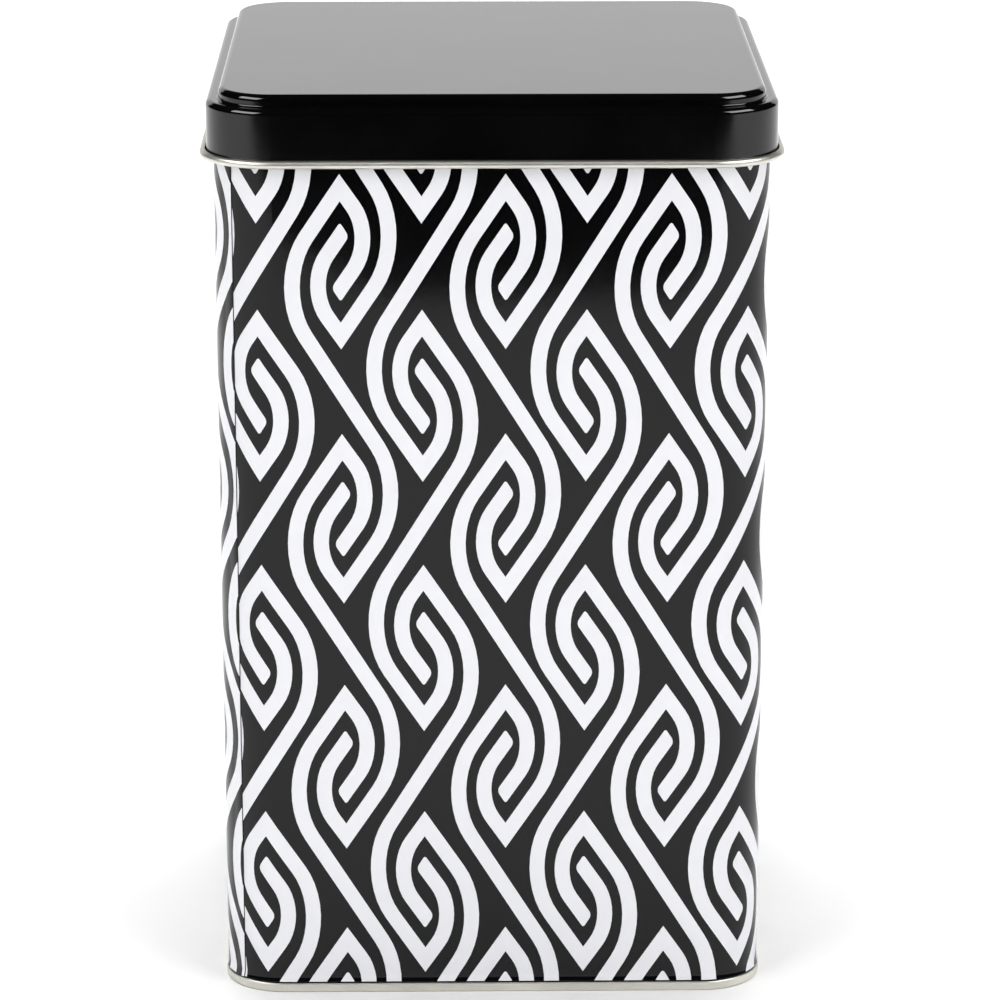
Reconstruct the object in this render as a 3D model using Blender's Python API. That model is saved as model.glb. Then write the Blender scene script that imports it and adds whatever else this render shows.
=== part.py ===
"""Square slip-lid coffee tin: a tinplate body with a lock seam, a seamed-on base and a lift-off lid.

Metres, +Z up. The origin is the middle of the footprint, on the surface that the tin stands on.
The front of the tin looks along -Y.

Every piece is pressed or folded from one sheet, so every piece is drawn the same way: a line for
one face of the sheet, in (outward, up) coordinates, is given its thickness and swept round the
tin's rounded square. "Outward" is measured from the outer face of the body wall.
"""

import math

import bmesh
import bpy
from mathutils import Matrix, Vector

MM = 0.001
MERGE_DISTANCE = 1e-6

# Driving dimensions, in millimetres.
BODY_WIDTH = 110.0
BODY_DEPTH = 110.0
CORNER_RADIUS = 12.0
OVERALL_HEIGHT = 187.0
SHEET = 0.25
CLEARANCE = 0.3

LID_HEIGHT = 13.9
LID_FIT = 0.35
LID_CURL_DIAMETER = 1.6
LID_CURL_TURN = 290.0
SHOULDER_RADIUS = 1.2
STEP_INSET = 2.5
PANEL_RISE = 2.4
PANEL_EDGE_RADIUS = 1.3
STEP_FILLET = 0.4

RIM_CURL_DIAMETER = 1.0
RIM_CURL_TURN = 270.0

LOCK_SEAM_DEPTH = 0.5
LOCK_SEAM_END_GAP = 5.0

BASE_SEAM_HEIGHT = 1.95
BASE_SEAM_FOLD_RADIUS = 0.4
BASE_RECESS = 2.6
BASE_PANEL_RADIUS = 0.5
NECK_IN = 0.2
NECK_HEIGHT = 1.0

CORNER_STEPS = 8
LOCK_SEAM_STEPS = range(3, 5)

# What follows from them.
LID_SIDE_GAP = RIM_CURL_DIAMETER - SHEET + LID_FIT
LID_SKIRT_OUT = LID_SIDE_GAP + SHEET
LEDGE_TOP = OVERALL_HEIGHT - PANEL_RISE
RIM_TOP = LEDGE_TOP - SHEET - CLEARANCE
BASE_SEAM_OUT = -NECK_IN + CLEARANCE + SHEET
BASE_SEAM_IN = -NECK_IN - SHEET - CLEARANCE - SHEET
NECK_BOTTOM = BASE_SEAM_HEIGHT + CLEARANCE
LOCK_SEAM_BOTTOM = NECK_BOTTOM + NECK_HEIGHT + LOCK_SEAM_END_GAP
LOCK_SEAM_TOP = RIM_TOP - RIM_CURL_DIAMETER - LOCK_SEAM_END_GAP


def arc(centre, radius, start, end, steps):
    """Points of an arc in (outward, up), from one angle to another in degrees."""
    points = []
    for step in range(steps + 1):
        angle = math.radians(start + (end - start) * step / steps)
        points.append(Vector(centre) + radius * Vector((math.cos(angle), math.sin(angle))))
    return points


def other_face(line, thickness):
    """The line at one sheet thickness to the right of this one, with mitred corners."""
    moved = []
    for index, point in enumerate(line):
        normals = []
        for a, b in ((index - 1, index), (index, index + 1)):
            if a >= 0 and b < len(line):
                along = (line[b] - line[a]).normalized()
                normals.append(Vector((along.y, -along.x)))
        mitre = sum(normals, Vector((0, 0)))
        moved.append(point + mitre * (thickness * len(normals) / mitre.length_squared))
    return moved


def lid_line():
    """The lacquered face: over the panel's edge, down the step and skirt, and round inside the curl."""
    wall = LID_SKIRT_OUT - STEP_INSET
    curl_radius = LID_CURL_DIAMETER / 2
    curl_centre = (LID_SIDE_GAP + curl_radius, OVERALL_HEIGHT - LID_HEIGHT + curl_radius)
    panel_centre = (wall - PANEL_EDGE_RADIUS, OVERALL_HEIGHT - PANEL_EDGE_RADIUS)
    line = arc(panel_centre, PANEL_EDGE_RADIUS, 90, 0, 4)
    line += arc((wall + STEP_FILLET, LEDGE_TOP + STEP_FILLET), STEP_FILLET, 180, 270, 2)
    shoulder_centre = (LID_SKIRT_OUT - SHOULDER_RADIUS, LEDGE_TOP - SHOULDER_RADIUS)
    line += arc(shoulder_centre, SHOULDER_RADIUS, 90, 0, 3)
    line += arc(curl_centre, curl_radius - SHEET, 180, 180 + LID_CURL_TURN, 9)
    return line


def shell_line():
    """The printed face: round inside the rim's curl, down the wall, and necked in at the foot."""
    curl_radius = RIM_CURL_DIAMETER / 2
    curl_centre = (curl_radius - SHEET, RIM_TOP - curl_radius)
    line = arc(curl_centre, curl_radius - SHEET, 180 - RIM_CURL_TURN, 180, 8)
    for height in (LOCK_SEAM_TOP, LOCK_SEAM_BOTTOM, NECK_BOTTOM + NECK_HEIGHT):
        line.append(Vector((0, height)))
    line.append(Vector((-NECK_IN, NECK_BOTTOM)))
    line.append(Vector((-NECK_IN, SHEET + CLEARANCE)))
    return line


def base_line():
    """The inner face of the plate, from the panel down its wall and up inside the seam's fold."""
    fold = BASE_SEAM_FOLD_RADIUS
    panel_centre = (BASE_SEAM_IN - BASE_PANEL_RADIUS, BASE_RECESS - BASE_PANEL_RADIUS)
    line = arc(panel_centre, BASE_PANEL_RADIUS + SHEET, 90, 0, 3)
    line += arc((BASE_SEAM_IN + fold, fold), fold - SHEET, 180, 270, 2)
    line += arc((BASE_SEAM_OUT - fold, fold), fold - SHEET, 270, 360, 2)
    line.append(Vector((BASE_SEAM_OUT - SHEET, BASE_SEAM_HEIGHT)))
    return line


def swept(points, closed):
    """Sweeps a section round the tin: a spin at each corner, and an extrusion along each side."""
    half_x = (BODY_WIDTH / 2 - CORNER_RADIUS) * MM
    half_y = (BODY_DEPTH / 2 - CORNER_RADIUS) * MM
    corners = ((half_x, -half_y), (half_x, half_y), (-half_x, half_y), (-half_x, -half_y))
    bm = bmesh.new()
    verts = []
    for outward, up in points:
        verts.append(bm.verts.new((half_x, -half_y - (CORNER_RADIUS + outward) * MM, up * MM)))
    edges = [bm.edges.new(pair) for pair in zip(verts, verts[1:])]
    if closed:
        edges.append(bm.edges.new((verts[-1], verts[0])))
    section = verts + edges
    for index, corner in enumerate(corners):
        turned = bmesh.ops.spin(
            bm,
            geom=section,
            cent=(*corner, 0),
            axis=(0, 0, 1),
            angle=math.pi / 2,
            steps=CORNER_STEPS,
        )
        edges = [item for item in turned["geom_last"] if isinstance(item, bmesh.types.BMEdge)]
        following = corners[(index + 1) % 4]
        side = (following[0] - corner[0], following[1] - corner[1], 0)
        pushed = bmesh.ops.extrude_edge_only(bm, edges=edges)["geom"]
        moved = [item for item in pushed if isinstance(item, bmesh.types.BMVert)]
        bmesh.ops.translate(bm, verts=moved, vec=side)
        section = moved + [
            item for item in pushed
            if isinstance(item, bmesh.types.BMEdge) and set(item.verts) <= set(moved)
        ]
    bmesh.ops.remove_doubles(bm, verts=bm.verts, dist=MERGE_DISTANCE)
    return bm


def fill_panels(bm):
    """Closes the two open loops of a lid or a base with the two faces of its panel."""
    open_edges = [edge for edge in bm.edges if edge.is_boundary]
    heights = sorted({round(edge.verts[0].co.z, 6) for edge in open_edges})
    for height in heights:
        loop = [edge for edge in open_edges if round(edge.verts[0].co.z, 6) == height]
        bmesh.ops.contextual_create(bm, geom=loop)


def fold_lock_seam(bm):
    """Thickens the wall inwards where its two edges are folded together, in the front left corner."""
    centre = Vector((CORNER_RADIUS - BODY_WIDTH / 2, CORNER_RADIUS - BODY_DEPTH / 2)) * MM
    inner = (CORNER_RADIUS - SHEET) * MM
    step = 90 / CORNER_STEPS
    faces = []
    for face in bm.faces:
        middle = face.calc_center_median()
        radial = middle.xy - centre
        angle = math.degrees(math.atan2(-radial.y, -radial.x))
        if not LOCK_SEAM_BOTTOM * MM < middle.z < LOCK_SEAM_TOP * MM:
            continue
        if int(angle // step) in LOCK_SEAM_STEPS and radial.length < inner:
            faces.append(face)
    pushed = bmesh.ops.extrude_face_region(bm, geom=faces)["geom"]
    for item in pushed:
        if isinstance(item, bmesh.types.BMVert):
            radial = (item.co.xy - centre).normalized() * LOCK_SEAM_DEPTH * MM
            item.co.xy -= radial
    bmesh.ops.delete(bm, geom=faces, context="FACES")


def material(name, colour, metallic, roughness):
    made = bpy.data.materials.new(name)
    made.use_nodes = True
    shader = made.node_tree.nodes["Principled BSDF"]
    shader.inputs["Base Color"].default_value = (*colour, 1)
    shader.inputs["Metallic"].default_value = metallic
    shader.inputs["Roughness"].default_value = roughness
    return made


def piece(name, bm, finish, parent):
    """Turns a finished bmesh into a named object with its material, under its parent."""
    bmesh.ops.recalc_face_normals(bm, faces=bm.faces)
    mesh = bpy.data.meshes.new(name)
    bm.to_mesh(mesh)
    bm.free()
    mesh.materials.append(finish)
    mesh.shade_smooth()
    mesh.set_sharp_from_angle(angle=math.radians(35))
    made = bpy.data.objects.new(name, mesh)
    bpy.context.scene.collection.objects.link(made)
    made.parent = parent
    made.matrix_parent_inverse = Matrix.Translation(-parent.location)
    return made


def empty(name, location):
    made = bpy.data.objects.new(name, None)
    made.location = location
    bpy.context.scene.collection.objects.link(made)
    return made


def main():
    for old in list(bpy.data.objects):
        bpy.data.objects.remove(old)

    tin = empty("tin_frame", (0, 0, 0))
    lid_axis = empty("lid_lift_axis", (0, 0, LEDGE_TOP * MM))
    lid_axis.parent = tin

    black_lacquer = material("black_lacquer", (0.004, 0.004, 0.005), 0.0, 0.12)
    printed_tinplate = material("printed_tinplate", (0.35, 0.35, 0.36), 0.0, 0.2)
    bare_tinplate = material("bare_tinplate", (0.62, 0.61, 0.56), 1.0, 0.3)

    shell_face = shell_line()
    shell = swept(shell_face + other_face(shell_face, SHEET)[::-1], closed=True)
    fold_lock_seam(shell)
    piece("body_shell", shell, printed_tinplate, tin)

    base_face = base_line()
    base = swept(base_face + other_face(base_face, SHEET)[::-1], closed=False)
    fill_panels(base)
    piece("base_plate", base, bare_tinplate, tin)

    lid_face = lid_line()
    lid = swept(lid_face + other_face(lid_face, SHEET)[::-1], closed=False)
    fill_panels(lid)
    piece("lid", lid, black_lacquer, lid_axis)


main()
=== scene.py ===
# %% [markdown]
# # A square coffee tin with a slip lid
# The tin has three pieces, all pressed or folded from thin tinplate: a printed body with a lock seam,
# a base that is seamed onto it, and a lid that lifts off. The model is built round a fixed frame, which
# holds the tin's solids and says which of them move together. Sizes that the frame knows are read
# from it, and the rest are the real object's millimetres.

# %% Load the frame and keep the size that the tin has to keep
import math

import bmesh
import bpy
from mathutils import Matrix, Vector


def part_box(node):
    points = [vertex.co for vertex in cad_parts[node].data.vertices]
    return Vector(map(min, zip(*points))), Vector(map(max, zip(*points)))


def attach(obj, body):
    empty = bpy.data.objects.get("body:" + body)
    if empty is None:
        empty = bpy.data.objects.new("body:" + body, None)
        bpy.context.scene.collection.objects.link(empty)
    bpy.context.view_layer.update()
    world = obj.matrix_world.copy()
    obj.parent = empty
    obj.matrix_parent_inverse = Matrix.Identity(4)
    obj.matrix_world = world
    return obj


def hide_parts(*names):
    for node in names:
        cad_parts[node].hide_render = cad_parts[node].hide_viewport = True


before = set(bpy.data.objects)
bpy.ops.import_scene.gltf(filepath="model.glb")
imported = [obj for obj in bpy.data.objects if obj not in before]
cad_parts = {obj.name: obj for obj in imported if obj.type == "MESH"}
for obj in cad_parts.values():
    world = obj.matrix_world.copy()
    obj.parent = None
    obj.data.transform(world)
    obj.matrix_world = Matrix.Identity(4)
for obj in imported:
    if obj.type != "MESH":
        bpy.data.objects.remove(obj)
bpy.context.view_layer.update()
MM = 0.001
UP = Vector((0, 0, 1))

# %% [markdown]
# ## The sheet that everything is made of
# A can maker draws a tin as a flat sheet first, because the steel is printed, cut and curled flat and
# only then bent round the body. The model is made in that order too. A point of the flat sheet has
# three numbers: how far round the tin it is, how far outward from the body wall, and how high.
# Bending it round the rounded square is then one formula, and the same formula turns the direction
# that the surface faces, so gloss runs over the flat sides and the corners without a ripple.

# %% Sizes of the sheet and of the rounded square
SHEET = 0.25 * MM
sheet = SHEET / MM
WELD = 0.002 * MM
CORNER_RADIUS = 12 * MM
CORNER_CUTS = 24
RIM_ROLL_PROUD = 0.75 * MM
shell_low, shell_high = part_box("body_shell")
lid_low, lid_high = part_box("lid")
base_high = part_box("base_plate")[1]
half_side = shell_high[0] - RIM_ROLL_PROUD
half_flat = half_side - CORNER_RADIUS
corner_length = CORNER_RADIUS * math.pi / 2
quarter = 2 * half_flat + corner_length
girth = 4 * quarter
print(f"side {2 * half_side / MM:.1f} mm, girth {girth / MM:.1f} mm")


# %% Bend a flat sheet round the tin
def frame_at(round_the_tin):
    """The place on the body wall, the outward direction and the direction along the wall."""
    side = math.floor((round_the_tin + half_flat) / quarter)
    along = round_the_tin + half_flat - side * quarter
    bend = max(0, along - 2 * half_flat) / CORNER_RADIUS
    turned = Matrix.Rotation(bend, 3, "Z")
    outward = turned @ Vector((0, -1, 0))
    place = Vector((min(along, 2 * half_flat) - half_flat, -half_flat, 0)) + outward * CORNER_RADIUS
    quarter_turn = Matrix.Rotation(side * math.pi / 2, 3, "Z")
    return quarter_turn @ place, quarter_turn @ outward, quarter_turn @ turned @ Vector((1, 0, 0))


def facing_of(bm):
    """The layer that holds the direction which the surface faces at each point."""
    return bm.verts.layers.float_vector.get("facing") or bm.verts.layers.float_vector.new("facing")


def cut_columns(bm):
    """Cuts the flat sheet where it will bend, so that the corners come out round."""
    for side in range(-3, 5):
        start = half_flat + side * quarter
        for step in range(CORNER_CUTS + 1):
            cut = Vector((start + corner_length * step / CORNER_CUTS, 0, 0))
            everything = bm.verts[:] + bm.edges[:] + bm.faces[:]
            bmesh.ops.bisect_plane(bm, geom=everything, plane_co=cut, plane_no=(1, 0, 0), dist=WELD)


def bend_round(bm):
    """Wraps the flat sheet round the rounded square, places and directions alike."""
    facing = facing_of(bm)
    for vert in bm.verts:
        place, outward, along = frame_at(vert.co.x)
        vert.co = place + outward * vert.co.y + UP * vert.co.z
        flat = vert[facing]
        vert[facing] = along * flat.x + outward * flat.y + UP * flat.z


# %% Draw a section of the sheet and follow it
def arc(centre, radius, start, end, steps, faces_out=True):
    """An arc in (outward, up), in mm and degrees: its points, and the direction the sheet faces at each."""
    line = []
    for step in range(steps + 1):
        angle = math.radians(start + (end - start) * step / steps)
        direction = Vector((math.cos(angle), math.sin(angle)))
        facing = direction if faces_out else -direction
        line.append(((Vector(centre) + radius * direction) * MM, facing))
    return line


def back_of(line):
    """The other face of the sheet, run the opposite way."""
    return [(point - facing * SHEET, -facing) for point, facing in reversed(line)]


def follow(bm, edges, line, finish):
    """Extrudes a row of edges along a section line in one finish, and returns the last row."""
    facing = facing_of(bm)
    for (outward, up), (face_out, face_up) in line:
        pushed = bmesh.ops.extrude_edge_only(bm, edges=edges)["geom"]
        moved = {item for item in pushed if isinstance(item, bmesh.types.BMVert)}
        for item in pushed:
            if isinstance(item, bmesh.types.BMFace):
                item.material_index = finish
        for vert in moved:
            vert.co.y, vert.co.z = outward, up
            vert[facing] = (0, face_out, face_up)
        edges = [item for item in pushed if isinstance(item, bmesh.types.BMEdge) and set(item.verts) <= moved]
    return edges


def pressed(outside, outside_finish, back_finish):
    """A pressed piece: its outside line and the back of it, once round the tin, with its panel filled."""
    bm = bmesh.new()
    facing = facing_of(bm)
    (outward, up), (face_out, face_up) = outside[0]
    ends = [bm.verts.new((distance, outward, up)) for distance in (-girth / 2, girth / 2)]
    for vert in ends:
        vert[facing] = (0, face_out, face_up)
    edges = follow(bm, [bm.edges.new(ends)], outside[1:], outside_finish)
    follow(bm, edges, back_of(outside), back_finish)
    cut_columns(bm)
    bend_round(bm)
    bmesh.ops.remove_doubles(bm, verts=bm.verts, dist=WELD)
    rims = [edge for edge in bm.edges if edge.is_boundary]
    for (_, up), finish in ((outside[0][0], outside_finish), (back_of(outside)[-1][0], back_finish)):
        rim = [edge for edge in rims if abs(edge.verts[0].co.z - up) < WELD]
        panel = bmesh.ops.contextual_create(bm, geom=rim)["faces"]
        for face in panel:
            face.material_index = finish
    return bm


# %% Turn a finished bmesh into a piece of the tin
def piece(name, bm, materials, body, solid):
    """Makes the object, gives it its exact shading, and puts it in place of its plain solid."""
    facing = facing_of(bm)
    bm.normal_update()
    inward = []
    for face in bm.faces:
        face.smooth = True
        if face.normal.dot(sum((vert[facing] for vert in face.verts), Vector())) < 0:
            inward.append(face)
    bmesh.ops.reverse_faces(bm, faces=inward)
    directions = [vert[facing].normalized() for vert in bm.verts]
    bm.verts.layers.float_vector.remove(facing)
    mesh = bpy.data.meshes.new(name)
    bm.to_mesh(mesh)
    open_edges = sum(not edge.is_manifold for edge in bm.edges)
    bm.free()
    mesh.normals_split_custom_set_from_vertices(directions)
    for finish in materials:
        mesh.materials.append(finish)
    made = bpy.data.objects.new(name, mesh)
    bpy.context.scene.collection.objects.link(made)
    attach(made, body)
    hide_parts(solid)
    corners = [[round(v / MM, 2) for v in (min(c), max(c))] for c in zip(*(v.co for v in mesh.vertices))]
    print(f"{name}: {len(mesh.polygons)} faces, {open_edges} open edges, box in mm {corners}")
    return made


# %% [markdown]
# ## Printed steel, lacquer and bare tinplate
# Tinplate is thin steel with a tin coating. For the body it is printed flat with a white and a black
# ink and then varnished, so the two inks share one gloss and only the colour changes. The varnish is
# rolled on and levels almost, but not quite, which leaves the faint waviness called orange peel. The
# lid is roller coated with black lacquer, which is thicker and levels better. Where the back of the
# sheet shows, on the rolls, the base and the inside, the steel has only its tin: a soft warm grey
# mirror with fine lines that run the way the strip was rolled.


# %% One function for colours and one that adds a node
def colour(hex_value):
    """An sRGB hex colour as the linear values that a shader reads."""
    linear = []
    for start in (1, 3, 5):
        value = int(hex_value[start:start + 2], 16) / 255
        linear.append(value / 12.92 if value <= 0.04045 else ((value + 0.055) / 1.055) ** 2.4)
    return (*linear, 1)


def node(tree, kind, settings=None, **inputs):
    """Adds a node, with its settings and its inputs: a value, or another node's output."""
    made = tree.nodes.new(kind)
    for name, value in (settings or {}).items():
        setattr(made, name, value)
    for name, value in inputs.items():
        socket = made.inputs[name.replace("_", " ")]
        if isinstance(value, bpy.types.NodeSocket):
            tree.links.new(value, socket)
        else:
            socket.default_value = value
    return made


def blank(name):
    """A new material with its tree, its shader and its place on the object in metres."""
    made = bpy.data.materials.new(name)
    made.use_nodes = True
    tree = made.node_tree
    return made, tree, tree.nodes["Principled BSDF"], node(tree, "ShaderNodeTexCoord").outputs["Object"]


def set_shader(tree, shader, **inputs):
    """Sets the shader's own sockets, by value or by link."""
    for name, value in inputs.items():
        socket = shader.inputs[name.replace("_", " ")]
        if isinstance(value, bpy.types.NodeSocket):
            tree.links.new(value, socket)
        else:
            socket.default_value = value


# %% Varnish and lacquer: a gloss coat over a flat colour
def coated(name, base, index, gloss, peel_size, peel_height, cloud):
    """Ink or lacquer on steel. The peel is the waviness of the coat, and the cloud a faint dullness."""
    made, tree, shader, place = blank(name)
    peel = node(tree, "ShaderNodeTexNoise", Vector=place, Scale=1 / peel_size, Detail=2.0, Roughness=0.4)
    bump = node(tree, "ShaderNodeBump", Height=peel.outputs["Fac"], Strength=1.0, Distance=peel_height)
    dull = node(tree, "ShaderNodeTexNoise", Vector=place, Scale=1 / (18 * MM), Detail=4.0, Roughness=0.6)
    rough = node(tree, "ShaderNodeMapRange", Value=dull.outputs["Fac"], From_Min=0.3, From_Max=0.7,
                 To_Min=gloss * (1 - cloud), To_Max=gloss * (1 + cloud))
    set_shader(tree, shader, Base_Color=colour(base), Roughness=rough.outputs["Result"], IOR=index,
               Normal=bump.outputs["Normal"])
    return made


# White offset ink under varnish: it covers the steel fully and stays a clean, faintly cool white.
white_ink = coated("white_offset_ink_varnished", "#F1F1F5", 1.37, 0.09, 1.6 * MM, 0.002 * MM, 0.3)
# Black offset ink under the same varnish: nearly no light comes back but the gloss.
black_ink = coated("black_offset_ink_varnished", "#080809", 1.37, 0.07, 1.6 * MM, 0.002 * MM, 0.3)
# Black stoving lacquer on the lid: thicker, so it levels to a longer and lower wave.
black_lacquer = coated("black_stoving_lacquer", "#050506", 1.5, 0.09, 3.0 * MM, 0.003 * MM, 0.4)


# %% Bare tinplate: a metal with the fine lines of the rolling mill
def bare_tinplate(name, base, gloss):
    """Electrolytic tinplate. The lines run up the sheet, 0.2 mm apart, which is drawn coarser than real."""
    made, tree, shader, place = blank(name)
    stretch = node(tree, "ShaderNodeMapping", Vector=place, Scale=(1, 1, 0.04))
    lines = node(tree, "ShaderNodeTexNoise", Vector=stretch.outputs["Vector"], Scale=1 / (0.2 * MM),
                 Detail=2.0)
    tarnish = node(tree, "ShaderNodeTexNoise", Vector=place, Scale=1 / (14 * MM), Detail=5.0, Roughness=0.6)
    rough = node(tree, "ShaderNodeMapRange", Value=lines.outputs["Fac"], From_Min=0.25, From_Max=0.75,
                 To_Min=gloss * 0.7, To_Max=gloss * 1.3)
    shade = node(tree, "ShaderNodeMapRange", Value=tarnish.outputs["Fac"], From_Min=0.3, From_Max=0.7,
                 To_Min=0.9, To_Max=1.08)
    tone = node(tree, "ShaderNodeHueSaturation", Color=colour(base), Value=shade.outputs["Result"])
    bump = node(tree, "ShaderNodeBump", Height=lines.outputs["Fac"], Strength=0.4, Distance=0.003 * MM)
    set_shader(tree, shader, Metallic=1.0, Base_Color=tone.outputs["Color"],
               Roughness=rough.outputs["Result"], Normal=bump.outputs["Normal"])
    return made


tinplate = bare_tinplate("electrolytic_tinplate", "#DDDBD2", 0.4)
print("finishes:", [finish.name for finish in (white_ink, black_ink, black_lacquer, tinplate)])

# %% [markdown]
# ## The lid
# A press draws the lid from one blank. Its middle stands up as a panel with a soft edge, round it runs
# a narrow ledge, and the skirt slips over the body. The skirt's cut edge is curled outward until it is
# nearly closed, so nothing sharp is left and the bare back of the sheet faces the eye. The section is
# drawn once, as arcs that the straight parts join, and goes once round the tin.

# %% Press the lid
SKIRT = 1.35
STEP_INSET = 2.5
PANEL_RISE = 2.4
PANEL_EDGE = 1.3
STEP_FILLET = 0.4
SHOULDER = 1.2
CURL = 0.8
CURL_TURN = 290
top = lid_high[2] / MM
hem = lid_low[2] / MM
panel_wall = SKIRT - STEP_INSET
ledge = top - PANEL_RISE

step_centre = (panel_wall + STEP_FILLET, ledge + STEP_FILLET)
curl_centre = (SKIRT + CURL - sheet, hem + CURL)
curl_end = 180 + CURL_TURN

lid_outside = arc((panel_wall - PANEL_EDGE, top - PANEL_EDGE), PANEL_EDGE, 90, 0, 10)
lid_outside += arc(step_centre, STEP_FILLET, 180, 270, 6, faces_out=False)
lid_outside += arc((SKIRT - SHOULDER, ledge - SHOULDER), SHOULDER, 90, 0, 8)
lid_outside += arc(curl_centre, CURL - sheet, 180, curl_end, 28, faces_out=False)
lid_finishes = (black_lacquer, tinplate)
piece("lid_pressing", pressed(lid_outside, 0, 1), lid_finishes, "lid", "lid")

# %% [markdown]
# ## The base
# The base is a shallow tray. Its panel is set up inside the body, clear of the table, and its rim is
# folded over the foot of the body wall to make the seam that the tin stands on. From outside only the
# fold shows, as a bare bright band with a rounded top edge.

# %% Press the base
FOLD = 0.4
FOLD_LIP = 0.3
RECESS = 2.6
RECESS_CORNER = 0.5
PANEL_GAP = 1.35
SEAM_TOP = 1.95
seam_out = base_high[1] / MM - half_side / MM
seam_in = seam_out - PANEL_GAP
panel_corner = (seam_in - RECESS_CORNER, RECESS - RECESS_CORNER)

base_outside = arc(panel_corner, RECESS_CORNER, 90, 0, 6, faces_out=False)
base_outside += arc((seam_in + FOLD, FOLD), FOLD, 180, 270, 6)
base_outside += arc((seam_out - FOLD, FOLD), FOLD, 270, 360, 6)
base_outside += arc((seam_out - FOLD_LIP, SEAM_TOP - FOLD_LIP), FOLD_LIP, 0, 90, 6)
piece("base_pressing", pressed(base_outside, 0, 0), (tinplate,), "tin", "base_plate")

# %% [markdown]
# ## The print
# The decoration is a meander of plain hooks. Each white stroke is one band of even width. It starts in
# a hook, goes over a sharp peak, runs down a long slope and ends in the same hook turned half round, so
# the ends of neighbouring strokes lie inside each other. Every second column is the mirror image, set
# lower. The print is cut into the sheet as real edges between the two inks, because an edge between
# two faces stays sharp at any distance, where a painted image would blur.

# %% Sizes of one stroke, in mm from the middle of a hook
BAND = 3.05
PEAK = 14.9
BEND_HEIGHT = 4.9
HOOK_REACH = 6.9
WIDE_REACH = 13.3
TOE = Vector((-0.885, -6.55))
TOE_CUT = Vector((1.77, -2.8))
ROW = 52.5
COLUMN = 32.4
MIRROR_ACROSS = 15.95
MIRROR_DOWN = 27.2
HOOK_BEND = 12.0
WIDE_BEND = 20.0
TOE_ROUND = 1.6
TOE_TIP_ROUND = 0.4
BEND_STEPS = 10
BEND_SHARE = 0.92


def beside(line, distance):
    """The line moved sideways by a distance, with its corners still sharp."""
    moved = []
    for index, point in enumerate(line):
        normals = []
        for a, b in ((index - 1, index), (index, index + 1)):
            if a >= 0 and b < len(line):
                along = (line[b] - line[a]).normalized()
                normals.append(Vector((along.y, -along.x)))
        mitre = sum(normals, Vector((0, 0)))
        moved.append(point + mitre * (distance * len(normals) / mitre.length_squared))
    return moved


def rounded(bm, vert, radius, steps):
    """Rounds one corner of an outline to about this radius, a little tighter than a true arc's reach."""
    arms = [edge.other_vert(vert).co - vert.co for edge in vert.link_edges]
    reach = BEND_SHARE * radius / math.tan(arms[0].angle(arms[1]) / 2)
    bmesh.ops.bevel(bm, geom=[vert], offset=reach, offset_type="OFFSET", segments=steps, profile=0.5,
                    affect="VERTICES", material=-1)


def half_stroke(bm):
    """From the hook's toe over the peak to the middle of the long slope, as one flat face."""
    hook = Vector((HOOK_REACH, BEND_HEIGHT))
    peak = Vector((0, PEAK))
    wide = Vector((-WIDE_REACH, -BEND_HEIGHT))
    middle = Vector((0, -ROW / 2))
    left, right = (beside([TOE, hook, peak, wide, middle], side) for side in (BAND / 2, -BAND / 2))
    left[0], right[0] = TOE + TOE_CUT / 2, TOE - TOE_CUT / 2
    verts = [bm.verts.new((point.x * MM, 0, point.y * MM)) for point in left + right[::-1]]
    face = bm.faces.new(verts)
    hooks, wides = (verts[1], verts[8]), (verts[3], verts[6])
    for corners, radius in ((hooks, HOOK_BEND), (wides, WIDE_BEND)):
        spans = [(corner.co.xz.length, corner) for corner in corners]
        for rank, (_, corner) in enumerate(sorted(spans, key=lambda span: span[0])):
            rounded(bm, corner, (radius + (rank - 0.5) * BAND) * MM, BEND_STEPS)
    rounded(bm, verts[9], TOE_ROUND * MM, 4)
    rounded(bm, verts[0], TOE_TIP_ROUND * MM, 3)
    return face


# %% Draw one stroke and print it
stroke = bmesh.new()
half_stroke(stroke)
turned = bmesh.ops.duplicate(stroke, geom=stroke.verts[:] + stroke.edges[:] + stroke.faces[:])["geom"]
bmesh.ops.rotate(stroke, verts=[v for v in turned if isinstance(v, bmesh.types.BMVert)],
                 cent=(0, 0, -ROW / 2 * MM), matrix=Matrix.Rotation(math.pi, 3, "Y"))
bmesh.ops.remove_doubles(stroke, verts=stroke.verts, dist=WELD)
seams = [edge for edge in stroke.edges if not edge.is_boundary]
bmesh.ops.dissolve_edges(stroke, edges=seams, use_verts=False)
print("stroke:", len(stroke.faces), "faces", len(stroke.verts), "points")
stroke_mesh = bpy.data.meshes.new("stroke")
stroke.to_mesh(stroke_mesh)
stroke.free()


# %% [markdown]
# ## The body
# The printed sheet is bent into a tube and its two edges are hooked together: the lock seam. Here it
# runs down the front left corner, the left edge lies on top as a narrow round fold, and the pattern
# doesn't match across it. The top edge is curled outward under the lid, and the foot flares a little
# just above the base seam before it tucks into it, which leaves a fine dark crease.

# %% Sizes of the printed sheet, in mm, with the seam's place measured from the middle of the front
SEAM_PLACE = -51.8 * MM
FIRST_COLUMN = 2.5
FIRST_ROW = 154.1
RIM_ROLL = 0.5
FLARE_TOP = 4.1
FLARE_RADIUS = 4.8
FLARE_TURN = 21.4
FLARE_STEPS = 8
BLACK, WHITE, BARE = 0, 1, 2
print_bottom = FLARE_TOP - FLARE_RADIUS * math.sin(math.radians(FLARE_TURN))
rim_top = shell_high[2] / MM
print_top = rim_top - 2.5 * RIM_ROLL
sheet_start = SEAM_PLACE
sheet_end = SEAM_PLACE + girth


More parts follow.
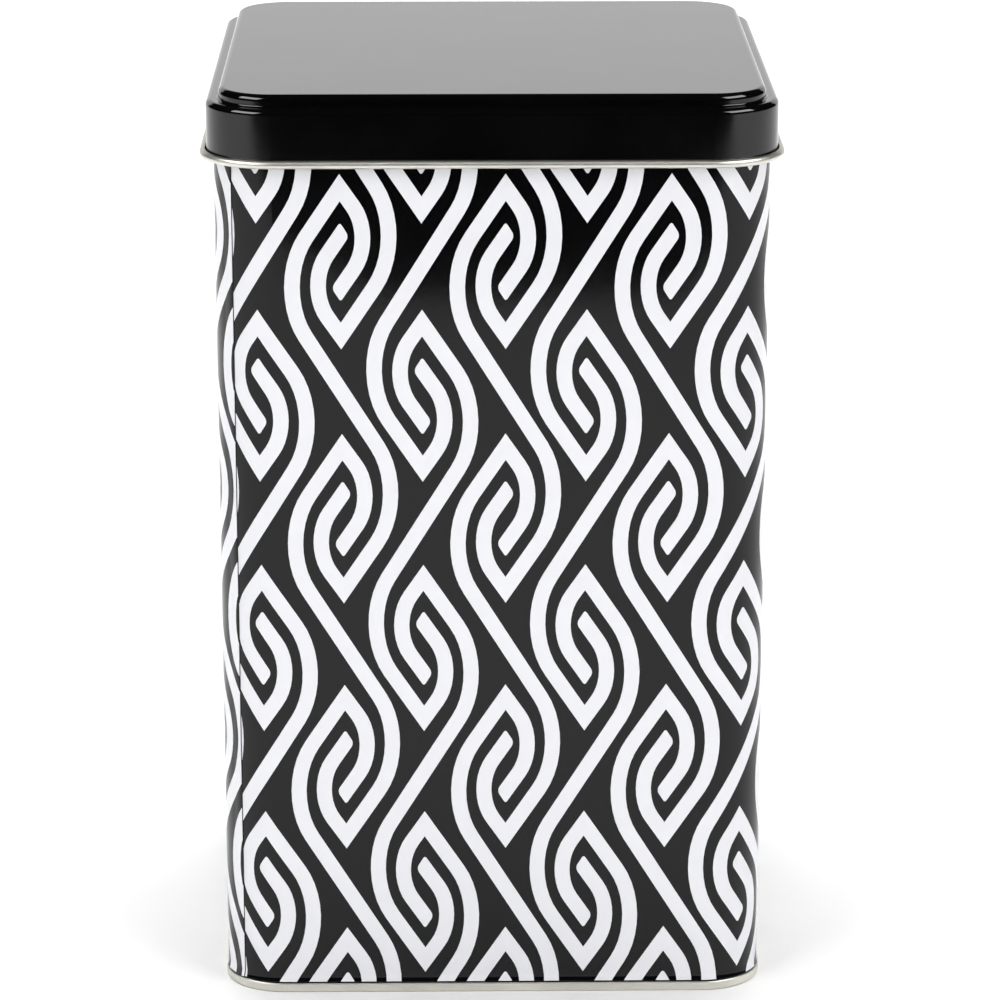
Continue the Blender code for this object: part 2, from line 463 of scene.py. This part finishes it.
def trim(bm, place, keep):
    """Cuts everything through a place, and drops what lies on the side that keep points away from."""
    everything = bm.verts[:] + bm.edges[:] + bm.faces[:]
    bmesh.ops.bisect_plane(bm, geom=everything, plane_co=place, plane_no=keep, dist=WELD, clear_inner=True)


def stamp(bm, across, up, mirrored):
    """Prints one more stroke on the sheet."""
    before = set(bm.verts)
    bm.from_mesh(stroke_mesh)
    fresh = [vert for vert in bm.verts if vert not in before]
    if mirrored:
        bmesh.ops.scale(bm, verts=fresh, vec=(-1, 1, 1))
    bmesh.ops.translate(bm, verts=fresh, vec=(across * MM, 0, up * MM))


# %% Print the strokes a little past the sheet, and fill the black in round them
body = bmesh.new()
columns = range(-3, 13)
rows = range(-3, 3)
for column in columns:
    for row in rows:
        across = FIRST_COLUMN + column * COLUMN
        up = FIRST_ROW + row * ROW
        stamp(body, across, up, mirrored=False)
        stamp(body, across + MIRROR_ACROSS, up - MIRROR_DOWN, mirrored=True)
bmesh.ops.triangulate(body, faces=body.faces)
for face in body.faces:
    face.material_index = WHITE
outlines = [edge for edge in body.edges if edge.is_boundary]
# The paper reaches past the last stroke on every side.
left = (columns[0] - 2) * COLUMN * MM
right = (columns[-1] + 4) * COLUMN * MM
low = FIRST_ROW * MM + (rows[0] - 3) * ROW * MM
high = FIRST_ROW * MM + (rows[-1] + 2) * ROW * MM
corners = [body.verts.new((x, 0, z)) for x, z in ((left, low), (right, low), (right, high), (left, high))]
paper_edges = [body.edges.new(pair) for pair in zip(corners, corners[1:] + corners[:1])]
filled = bmesh.ops.triangle_fill(body, use_beauty=True, edges=outlines + paper_edges, normal=(0, -1, 0))
for item in filled["geom"]:
    if isinstance(item, bmesh.types.BMFace):
        item.material_index = BLACK

# %% Remove what the fill laid double, and trim the sheet to the body blank
body.faces.ensure_lookup_table()
stray = body.faces[:1]
while stray:
    stray = [face for face in body.faces
             if any(len(edge.link_faces) == 1 and edge not in paper_edges for edge in face.edges)]
    bmesh.ops.delete(body, geom=stray, context="FACES")
    print("stray slivers:", len(stray))
inked = sum(face.calc_area() for face in body.faces)
print(f"filled: {100 * inked / ((right - left) * (high - low)):.3f}% of the paper")
trim(body, (sheet_start, 0, 0), (1, 0, 0))
trim(body, (sheet_end, 0, 0), (-1, 0, 0))
trim(body, (0, 0, print_bottom * MM), (0, 0, 1))
trim(body, (0, 0, print_top * MM), (0, 0, -1))
facing = facing_of(body)
for vert in body.verts:
    vert[facing] = (0, 1, 0)
border = [edge for edge in body.edges if edge.is_boundary]
print("printed sheet:", len(body.faces), "faces,", len(border), "border edges")


# %% Fold the left edge of the sheet over the right one, and hook the two together point to point
FOLD_ROUND = 0.22
FOLD_RISE = 0.28
FOLD_SLOPE = 3.0
FOLD_STEPS = 6
SLOPE_STEPS = 4
SEAM_SHADOW = 0.06


def everything_beyond(bm, near, far):
    """The faces between two places along the sheet, with their edges and points."""
    faces = [face for face in bm.faces if near < face.calc_center_median().x < far]
    edges = {edge for face in faces for edge in face.edges}
    return faces + list(edges) + list({vert for edge in edges for vert in edge.verts})


round_cuts = [FOLD_ROUND * (1 - math.cos(math.pi / 2 * step / FOLD_STEPS))
              for step in range(1, FOLD_STEPS + 1)]
slope_cuts = [FOLD_SLOPE * step / SLOPE_STEPS for step in range(1, SLOPE_STEPS + 1)]
for distance in round_cuts + slope_cuts:
    bmesh.ops.bisect_plane(body, geom=everything_beyond(body, sheet_end - 2 * FOLD_SLOPE * MM, sheet_end),
                           plane_co=(sheet_end - distance * MM, 0, 0), plane_no=(1, 0, 0))
bmesh.ops.bisect_plane(body, geom=everything_beyond(body, sheet_start, sheet_start + 2 * FOLD_SLOPE * MM),
                       plane_co=(sheet_start + FOLD_ROUND * MM, 0, 0), plane_no=(1, 0, 0))
edge_heights = sorted({round(vert.co.z / WELD) for vert in body.verts
                       if min(abs(vert.co.x - sheet_end), abs(vert.co.x - sheet_start)) < WELD})
for height in edge_heights:
    strips = everything_beyond(body, sheet_end - round_cuts[0] * MM, sheet_end)
    strips += everything_beyond(body, sheet_start, sheet_start + FOLD_ROUND * MM)
    bmesh.ops.bisect_plane(body, geom=strips, dist=2 * WELD,
                           plane_co=(0, 0, height * WELD), plane_no=(0, 0, 1))
# The last thin strip of the fold's round edge is printed in black ink whatever the print below: painted shade
# for the dark line along the seam.
for face in body.faces:
    if face.calc_center_median().x > sheet_end - SEAM_SHADOW * MM:
        face.material_index = BLACK
for vert in body.verts:
    back = (sheet_end - vert.co.x) / MM
    if back < FOLD_ROUND + WELD / MM:
        lean = 1 - max(0, back) / FOLD_ROUND
        vert.co.y = FOLD_RISE * MM * math.sqrt(max(0, 1 - lean * lean))
        vert[facing] = Vector((lean, math.sqrt(max(0, 1 - lean * lean)), 0)).normalized()
    elif back < FOLD_SLOPE:
        down = (back - FOLD_ROUND) / (FOLD_SLOPE - FOLD_ROUND)
        vert.co.y = FOLD_RISE * MM * (1 + math.cos(math.pi * down)) / 2
        tilt = -FOLD_RISE * math.pi * math.sin(math.pi * down) / 2 / (FOLD_SLOPE - FOLD_ROUND)
        vert[facing] = Vector((tilt, 1, 0)).normalized()
print("lock seam:", len(edge_heights), "heights on the joined edges")

# %% Flare the printed foot
for step in range(FLARE_STEPS):
    height = FLARE_TOP - FLARE_RADIUS * math.sin(math.radians(FLARE_TURN * step / FLARE_STEPS))
    bmesh.ops.bisect_plane(body, geom=body.verts[:] + body.edges[:] + body.faces[:], dist=WELD,
                           plane_co=(0, 0, height * MM), plane_no=(0, 0, 1))
for vert in body.verts:
    sunk = max(0, FLARE_TOP - vert.co.z / MM) / FLARE_RADIUS
    vert.co.y += FLARE_RADIUS * MM * (1 - math.sqrt(1 - sunk * sunk))
    vert[facing] = Vector((vert[facing].x, vert[facing].y, sunk)).normalized()

# %% Tuck the foot into the seam, curl the rim, and turn the sheet's back inwards
LIP = 0.12
NECK = -0.2
NECK_FILLET = 0.1
tucked = math.radians(FLARE_TURN)
flare_out = FLARE_RADIUS * (1 - math.cos(tucked))
lip_centre = Vector((flare_out - LIP * math.cos(tucked), print_bottom - LIP * math.sin(tucked)))
neck_top = lip_centre.y - LIP
foot = arc(lip_centre, LIP, FLARE_TURN, -90, 6)
foot += arc((NECK + NECK_FILLET, neck_top - NECK_FILLET), NECK_FILLET, 90, 180, 3, faces_out=False)
foot_end = shell_low[2] / MM
foot.append((Vector((NECK, foot_end)) * MM, Vector((1, 0))))
inner_foot = [(Vector(point) * MM, Vector((-1, 0)))
              for point in ((-sheet, FLARE_TOP), (NECK - sheet, neck_top), (NECK - sheet, foot_end))]
rim = arc((RIM_ROLL - sheet, rim_top - RIM_ROLL), RIM_ROLL - sheet, 180, -90, 14, faces_out=False)

border = [edge for edge in body.edges if edge.is_boundary]
top_row = [edge for edge in border if all(abs(vert.co.z - print_top * MM) < WELD for vert in edge.verts)]
foot_row = [edge for edge in border if all(abs(vert.co.z - print_bottom * MM) < WELD for vert in edge.verts)]
follow(body, foot_row, foot[1:], BLACK)
rolled = follow(body, top_row, rim, BLACK)
follow(body, rolled, back_of(rim) + inner_foot, BARE)
print("top row", len(top_row), "foot row", len(foot_row), "faces", len(body.faces))


# %% Bend the body, close the lock seam, and close the foot
cut_columns(body)
bend_round(body)
bmesh.ops.remove_doubles(body, verts=body.verts, dist=2 * WELD)
foot_edges = [edge for edge in body.edges if edge.is_boundary]
closed = bmesh.ops.triangle_fill(body, use_beauty=True, edges=foot_edges, normal=(0, 0, -1))
print("foot:", len(foot_edges), "edges,", len(closed["geom"]), "filled")
body_finishes = (black_ink, white_ink, tinplate)
piece("printed_body", body, body_finishes, "tin", "body_shell")

# %% [markdown]
# ## The floor, the light and the camera
# A glossy black tin shows its surroundings more than itself, so the light is built like a table-top
# studio: a white sheet under the tin, one large soft light above, one low behind that lies as a pale
# sheen on the lid, and a soft one on each side of the camera. A flat gloss wall also shows the camera's
# own dark shape in the sheet. A black card stands in for it: the black ink is deepest near the lid and
# turns greyer below, where the wall shows the lit sheet. Two bright panels that only gloss sees give
# the corners of the lid their short highlights.

# %% Lay the floor, and a black card on it that only reflections see
FLOOR = ((-4, -4), (4, -4), (4, 4), (-4, 4))
CARD_FRONT = -3
CARD_BACK = -0.8
CARD_TIP = -0.655
CARD = ((-1.5, CARD_BACK), (-0.1, CARD_BACK), (-0.03, CARD_TIP), (0.068, CARD_TIP), (0.11, CARD_BACK),
        (1.5, CARD_BACK), (1.5, CARD_FRONT), (-1.5, CARD_FRONT))
CARD_HEIGHT = 0.001


def matt(name, base, grain, height):
    """Paper or felt: no gloss at all, and a relief as coarse as its grain."""
    made, tree, shader, place = blank(name)
    fibre = node(tree, "ShaderNodeTexNoise", Vector=place, Scale=1 / grain, Detail=3.0)
    relief = node(tree, "ShaderNodeBump", Height=fibre.outputs["Fac"], Strength=0.3, Distance=height)
    set_shader(tree, shader, Base_Color=colour(base), Roughness=0.9, Specular_IOR_Level=0.0,
               Normal=relief.outputs["Normal"])
    return made


def laid_flat(name, outline, height, finish):
    """A flat sheet on the table, which belongs to the studio and not to the tin."""
    bm = bmesh.new()
    bm.faces.new([bm.verts.new((x, y, height)) for x, y in outline])
    bmesh.ops.triangulate(bm, faces=bm.faces)
    bmesh.ops.recalc_face_normals(bm, faces=bm.faces)
    mesh = bpy.data.meshes.new(name)
    bm.to_mesh(mesh)
    bm.free()
    mesh.materials.append(finish)
    made = bpy.data.objects.new(name, mesh)
    bpy.context.scene.collection.objects.link(made)
    return made


# White paper under the tin: matt, so that it lights the tin evenly.
laid_flat("studio_floor", FLOOR, 0, matt("white_studio_paper", "#F4F4F4", 0.6 * MM, 0.02 * MM))
# Black felt: it gives nearly no light back, so a reflection of it stays dark.
card = laid_flat("black_card", CARD, CARD_HEIGHT, matt("black_felt", "#101010", 0.8 * MM, 0.05 * MM))
card.visible_camera = card.visible_diffuse = card.visible_shadow = False
print("the card's tip is", round(-CARD_TIP, 3), "m in front of the middle of the tin")


# %% Hang the lights
def softbox(name, place, target, width, height, brightness):
    """A rectangular soft light, given by how bright its face is."""
    data = bpy.data.lights.new(name, "AREA")
    data.shape = "RECTANGLE"
    data.size, data.size_y = width, height
    data.energy = brightness * math.pi * width * height
    made = bpy.data.objects.new(name, data)
    made.location = place
    made.rotation_euler = (Vector(target) - Vector(place)).to_track_quat("-Z", "Y").to_euler()
    bpy.context.scene.collection.objects.link(made)
    return made


middle = (0, 0, 0.09)
lid_middle = (0, 0, 0.187)

top_box = softbox("top_softbox", (0, 0.8, 1.7), (0, 0.6, 0), 2.6, 2.2, 3.3)
top_box.visible_glossy = False
softbox("back_softbox", (0, 2.2, 0.65), (0, 0, 0.65), 4.0, 1.3, 1.06)
for side, name in ((-1, "left"), (1, "right")):
    fill = softbox(f"{name}_softbox", (side, -0.95, 0.95), middle, 0.8, 1.5, 3.15)
    fill.visible_glossy = False
    sheen = softbox(f"{name}_gloss_panel", (1.05 * side, -0.73, 1.15), lid_middle, 1.2, 0.75, 8.0)
    sheen.visible_diffuse = False

world = bpy.data.worlds.new("studio_room")
world.use_nodes = True
bpy.context.scene.world = world
room = world.node_tree
look = node(room, "ShaderNodeTexCoord").outputs["Generated"]
rise = node(room, "ShaderNodeSeparateXYZ", Vector=look).outputs["Z"]
walls = node(room, "ShaderNodeMapRange", Value=rise, From_Min=-0.02, From_Max=0.1, To_Min=0.004, To_Max=0.2)
room.links.new(walls.outputs["Result"], room.nodes["Background"].inputs["Strength"])

# %% Set up the camera
CAMERA_DISTANCE = 0.9
CAMERA_ELEVATION = math.radians(16.47)
CAMERA_TURN = math.radians(-0.71)
CAMERA_LENS = 152.41
CAMERA_AIM = Vector((2.06, 0, 89.21)) * MM
camera_data = bpy.data.cameras.new("camera")
camera_data.lens = CAMERA_LENS
camera = bpy.data.objects.new("camera", camera_data)
back_off = Vector((math.cos(CAMERA_ELEVATION) * math.sin(CAMERA_TURN),
                   -math.cos(CAMERA_ELEVATION) * math.cos(CAMERA_TURN), math.sin(CAMERA_ELEVATION)))
camera.location = CAMERA_AIM + back_off * CAMERA_DISTANCE
camera.rotation_euler = (-back_off).to_track_quat("-Z", "Y").to_euler()
bpy.context.scene.collection.objects.link(camera)
bpy.context.scene.camera = camera
bpy.context.scene.view_settings.view_transform = "Standard"
print("camera at", [round(v, 3) for v in camera.location])

# %% Update the view layer and finish
bpy.context.view_layer.update()
